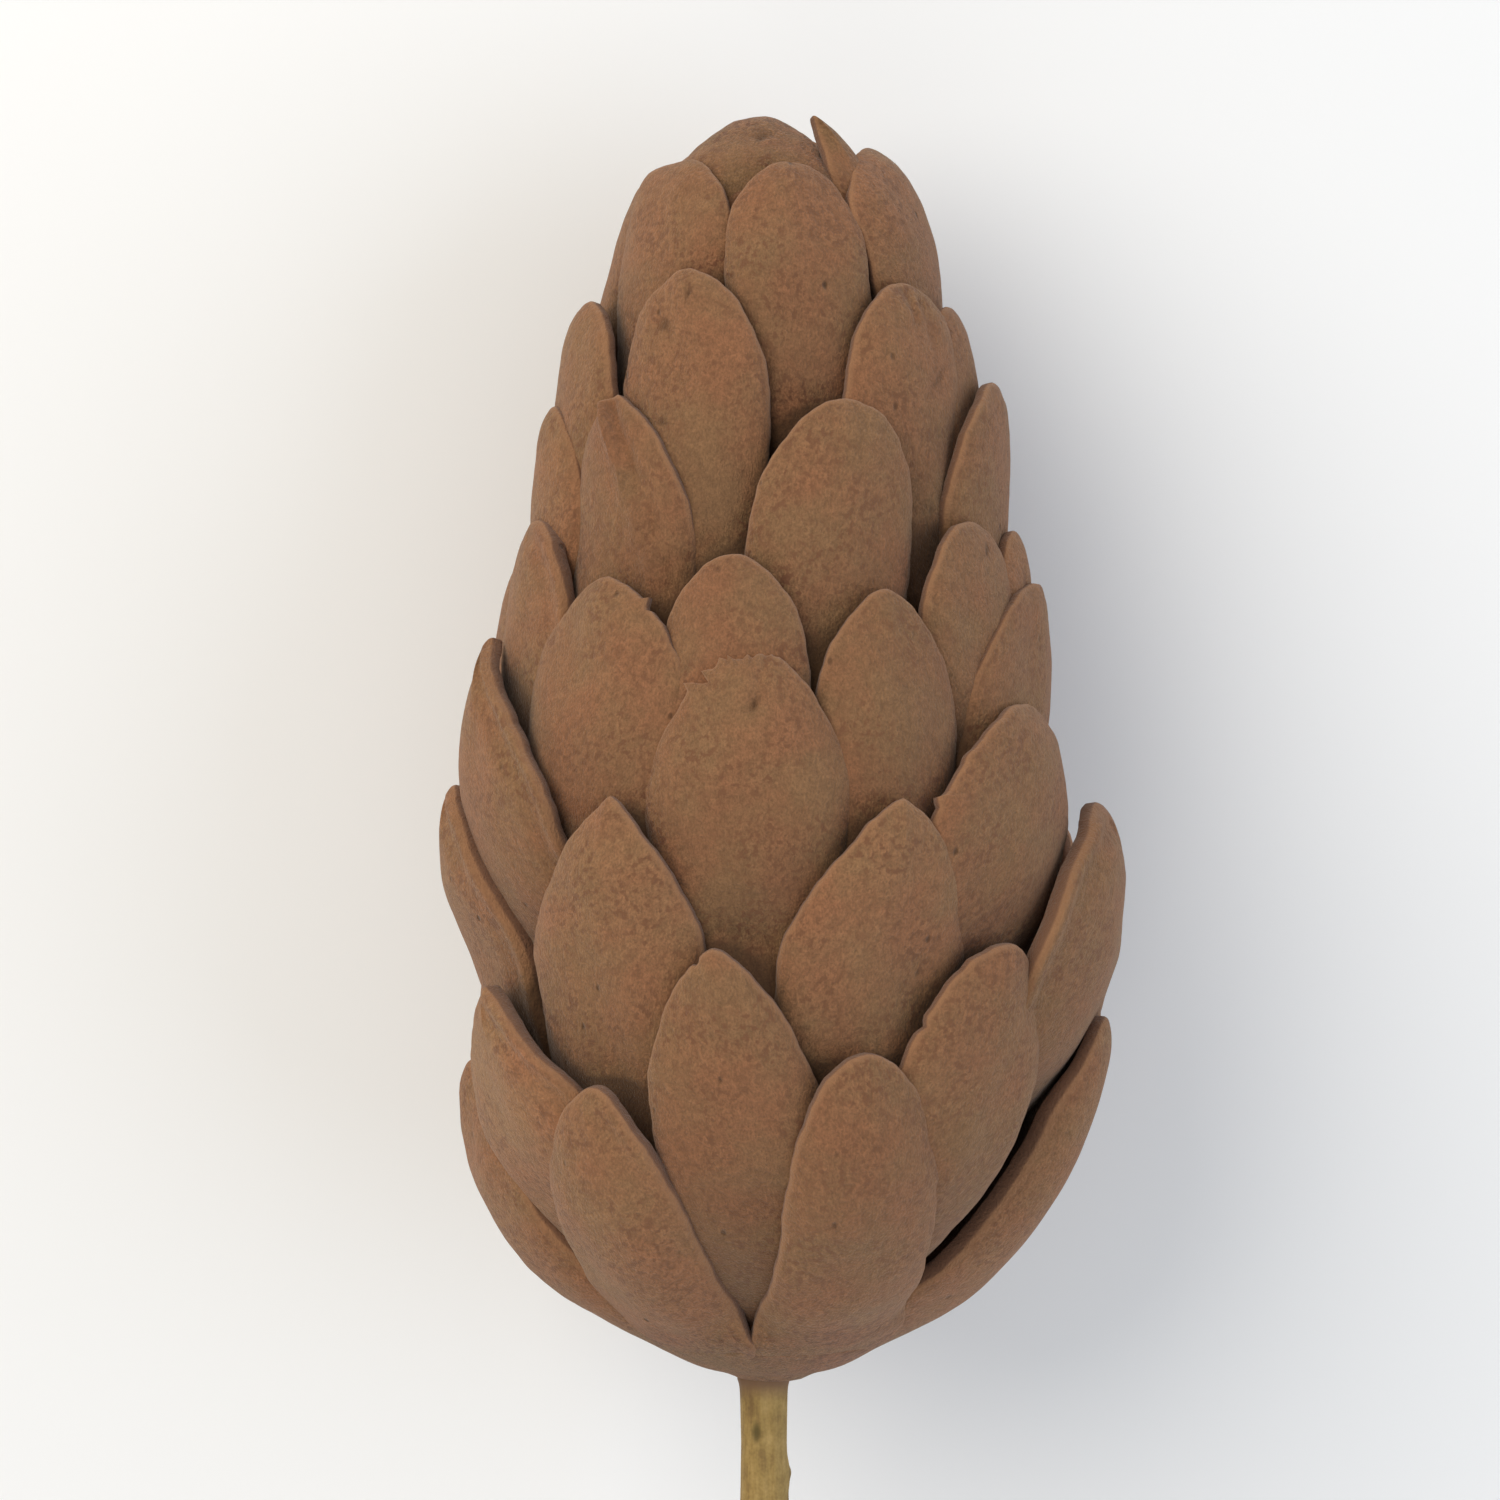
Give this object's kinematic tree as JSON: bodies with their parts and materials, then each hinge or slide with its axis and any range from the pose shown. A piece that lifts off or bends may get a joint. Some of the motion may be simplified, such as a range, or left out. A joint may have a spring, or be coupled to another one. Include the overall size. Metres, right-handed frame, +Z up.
{
  "type": "dried felted seed cone",
  "caption": "Closed, egg-shaped dried cone of overlapping, felted, leaf-like scales on a short cut stem, lying on its side.",
  "frame": {"origin": "centre of the bounding box's bottom face, where the cone lies", "axes": "+Z up, +Y from the stem towards the cone's tip"},
  "size_m": [0.048, 0.1212, 0.0461],
  "materials": {
    "felted_scale_skin": "matte brown felt",
    "twig_bark": "dry khaki bark with faint streaks"
  },
  "bodies": {
    "root": {"cone": "felted_scale_skin", "stem": "twig_bark"}
  },
  "joints": []
}
